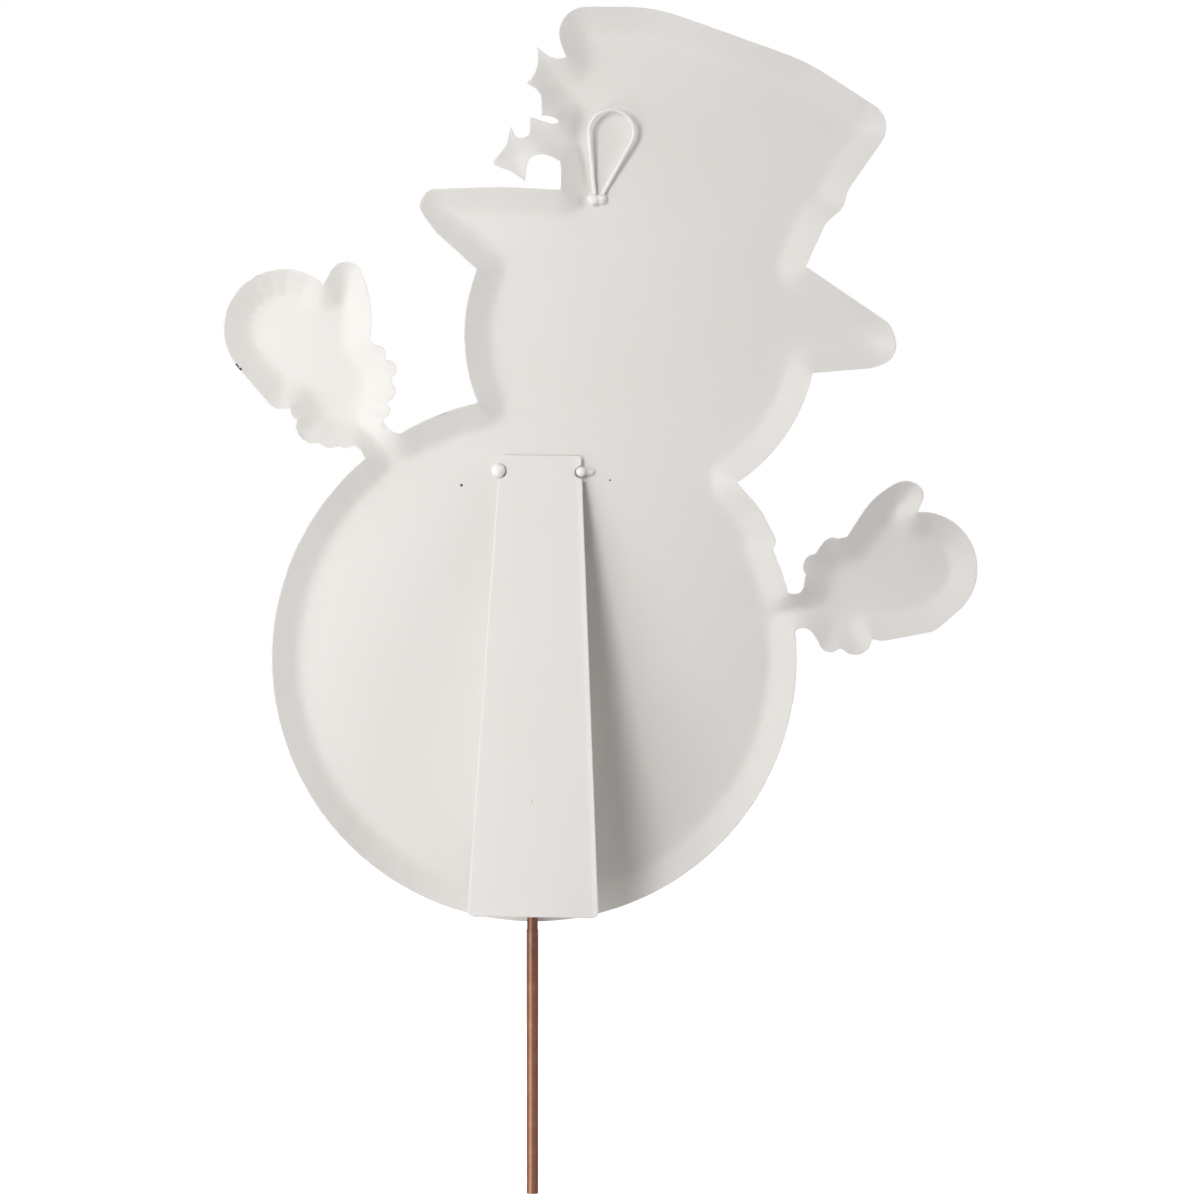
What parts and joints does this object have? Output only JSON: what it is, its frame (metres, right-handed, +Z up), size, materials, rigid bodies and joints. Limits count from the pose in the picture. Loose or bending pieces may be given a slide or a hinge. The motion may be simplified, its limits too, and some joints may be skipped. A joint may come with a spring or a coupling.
{
  "type": "metal snowman yard decoration",
  "caption": "Pressed sheet-steel snowman silhouette with a painted front, a hollow back, a hinged easel leg, a wire hanging loop and a removable ground stake.",
  "frame": {"origin": "on the stake's axis, at the flat lower end of the stake", "axes": "+Z up along the stake, painted front faces -Y, hollow back with the leg and loop faces +Y, +X to the right seen from the front"},
  "size_m": [0.3883, 0.0581, 0.6111],
  "materials": {
    "sheet_enamel": "satin off-white powder coat over pressed steel",
    "wire_enamel": "satin off-white powder coat over wire and solder",
    "stake_paint": "satin copper-brown paint over steel rod"
  },
  "bodies": {
    "stake": {"stake": "stake_paint"},
    "figure": {"figure_shell": "sheet_enamel", "hanging_loop": "wire_enamel", "loop_weld": "wire_enamel", "hinge_pin": "wire_enamel", "hinge_weld_left": "wire_enamel", "hinge_weld_right": "wire_enamel", "stake_socket": "sheet_enamel", "socket_strap_lower": "sheet_enamel", "socket_strap_upper": "sheet_enamel", "socket_spot_welds": "wire_enamel"},
    "leg": {"easel_leg": "sheet_enamel"}
  },
  "joints": [
    {"name": "lift_off_stake", "type": "slide", "parent": "stake", "child": "figure", "axis": [0, 0, 1], "range_m": [0, 0.06]},
    {"name": "leg_hinge", "type": "hinge", "parent": "figure", "child": "leg", "pos_m": [-0.0039, -0.0106, 0.3718], "axis": [0.9999, 0, 0.014], "range_deg": [-8.5, 0]}
  ]
}
